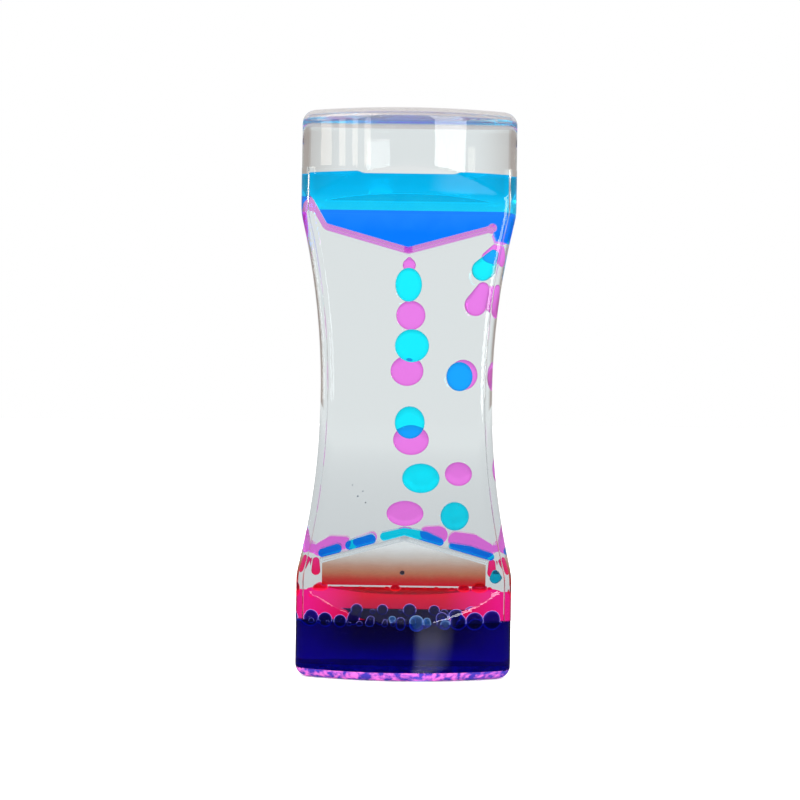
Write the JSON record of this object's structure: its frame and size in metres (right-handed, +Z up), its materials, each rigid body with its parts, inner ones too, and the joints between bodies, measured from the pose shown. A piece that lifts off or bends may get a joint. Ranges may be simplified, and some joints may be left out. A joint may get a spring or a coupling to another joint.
{
  "type": "liquid motion timer",
  "caption": "Clear hourglass-shaped liquid timer with bowed ends and flat windows, cyan drops falling in the front chamber and magenta drops in the rear one.",
  "frame": {"origin": "centre of the bottom face", "axes": "+Z up along the fall of the drops, +X across the width to the right of the front, -Y out of the front window"},
  "size_m": [0.0516, 0.03, 0.1355],
  "materials": {
    "clear_housing": "polished",
    "clear_sheet": "polished",
    "clear_strip": "polished",
    "filler_plug": "gloss",
    "cyan_liquid": "polished",
    "magenta_liquid": "polished"
  },
  "bodies": {
    "housing": {"front_shell": "clear_housing", "rear_shell": "clear_housing", "divider_plate": "clear_sheet", "front_upper_funnel": "clear_strip", "rear_upper_funnel": "clear_strip", "front_lower_funnel": "clear_strip", "rear_lower_funnel": "clear_strip", "front_filler_plug": "filler_plug", "rear_filler_plug": "filler_plug", "cyan_upper_pool": "cyan_liquid", "magenta_upper_pool": "magenta_liquid", "cyan_lower_pool": "cyan_liquid", "magenta_lower_pool": "magenta_liquid", "cyan_puddles": "cyan_liquid", "magenta_puddles": "magenta_liquid", "cyan_foam": "cyan_liquid", "magenta_foam": "magenta_liquid", "magenta_mist": "magenta_liquid", "magenta_runoff": "magenta_liquid"},
    "cyan_drop_1": {"cyan_drop_1": "cyan_liquid"},
    "cyan_drop_2": {"cyan_drop_2": "cyan_liquid"},
    "cyan_drop_3": {"cyan_drop_3": "cyan_liquid"},
    "cyan_drop_4": {"cyan_drop_4": "cyan_liquid"},
    "cyan_drop_5": {"cyan_drop_5": "cyan_liquid"},
    "cyan_drop_6": {"cyan_drop_6": "cyan_liquid"},
    "cyan_drop_7": {"cyan_drop_7": "cyan_liquid"},
    "cyan_drop_8": {"cyan_drop_8": "cyan_liquid"},
    "magenta_drop_1": {"magenta_drop_1": "magenta_liquid"},
    "magenta_drop_2": {"magenta_drop_2": "magenta_liquid"},
    "magenta_drop_3": {"magenta_drop_3": "magenta_liquid"},
    "magenta_drop_4": {"magenta_drop_4": "magenta_liquid"},
    "magenta_drop_5": {"magenta_drop_5": "magenta_liquid"},
    "magenta_drop_6": {"magenta_drop_6": "magenta_liquid"},
    "magenta_drop_7": {"magenta_drop_7": "magenta_liquid"},
    "magenta_drop_8": {"magenta_drop_8": "magenta_liquid"},
    "magenta_drop_9": {"magenta_drop_9": "magenta_liquid"}
  },
  "joints": [
    {"name": "cyan_drop_1_fall", "type": "slide", "parent": "housing", "child": "cyan_drop_1", "axis": [0, 0, -1], "range_m": [0, 0.0062]},
    {"name": "cyan_drop_2_fall", "type": "slide", "parent": "housing", "child": "cyan_drop_2", "axis": [0, 0, -1], "range_m": [0, 0.0101]},
    {"name": "cyan_drop_3_fall", "type": "slide", "parent": "housing", "child": "cyan_drop_3", "axis": [0, 0, -1], "range_m": [0, 0.0054]},
    {"name": "cyan_drop_4_fall", "type": "slide", "parent": "housing", "child": "cyan_drop_4", "axis": [0, 0, -1], "range_m": [0, 0.0082]},
    {"name": "cyan_drop_5_fall", "type": "slide", "parent": "housing", "child": "cyan_drop_5", "axis": [0, 0, -1], "range_m": [0, 0.002]},
    {"name": "cyan_drop_6_fall", "type": "slide", "parent": "housing", "child": "cyan_drop_6", "axis": [0, 0, -1], "range_m": [0, 0.026]},
    {"name": "cyan_drop_7_fall", "type": "slide", "parent": "housing", "child": "cyan_drop_7", "axis": [-0.1961, 0, -0.9806], "range_m": [0, 0.017]},
    {"name": "cyan_drop_8_fall", "type": "slide", "parent": "housing", "child": "cyan_drop_8", "axis": [0, 0, -1], "range_m": [0, 0.005]},
    {"name": "magenta_drop_1_fall", "type": "slide", "parent": "housing", "child": "magenta_drop_1", "axis": [0, 0, -1], "range_m": [0, 0.0059]},
    {"name": "magenta_drop_2_fall", "type": "slide", "parent": "housing", "child": "magenta_drop_2", "axis": [0, 0, -1], "range_m": [0, 0.0091]},
    {"name": "magenta_drop_3_fall", "type": "slide", "parent": "housing", "child": "magenta_drop_3", "axis": [0, 0, -1], "range_m": [0, 0.0106]},
    {"name": "magenta_drop_4_fall", "type": "slide", "parent": "housing", "child": "magenta_drop_4", "axis": [0, 0, -1], "range_m": [0, 0.0012]},
    {"name": "magenta_drop_5_fall", "type": "slide", "parent": "housing", "child": "magenta_drop_5", "axis": [0, 0, -1], "range_m": [0, 0.0102]},
    {"name": "magenta_drop_6_fall", "type": "slide", "parent": "housing", "child": "magenta_drop_6", "axis": [0, 0, -1], "range_m": [0, 0.017]},
    {"name": "magenta_drop_7_fall", "type": "slide", "parent": "housing", "child": "magenta_drop_7", "axis": [-0.1961, 0, -0.9806], "range_m": [0, 0.0096]},
    {"name": "magenta_drop_8_fall", "type": "slide", "parent": "housing", "child": "magenta_drop_8", "axis": [-0.1961, 0, -0.9806], "range_m": [0, 0.0034]},
    {"name": "magenta_drop_9_fall", "type": "slide", "parent": "housing", "child": "magenta_drop_9", "axis": [0, 0, -1], "range_m": [0, 0.0066]}
  ]
}
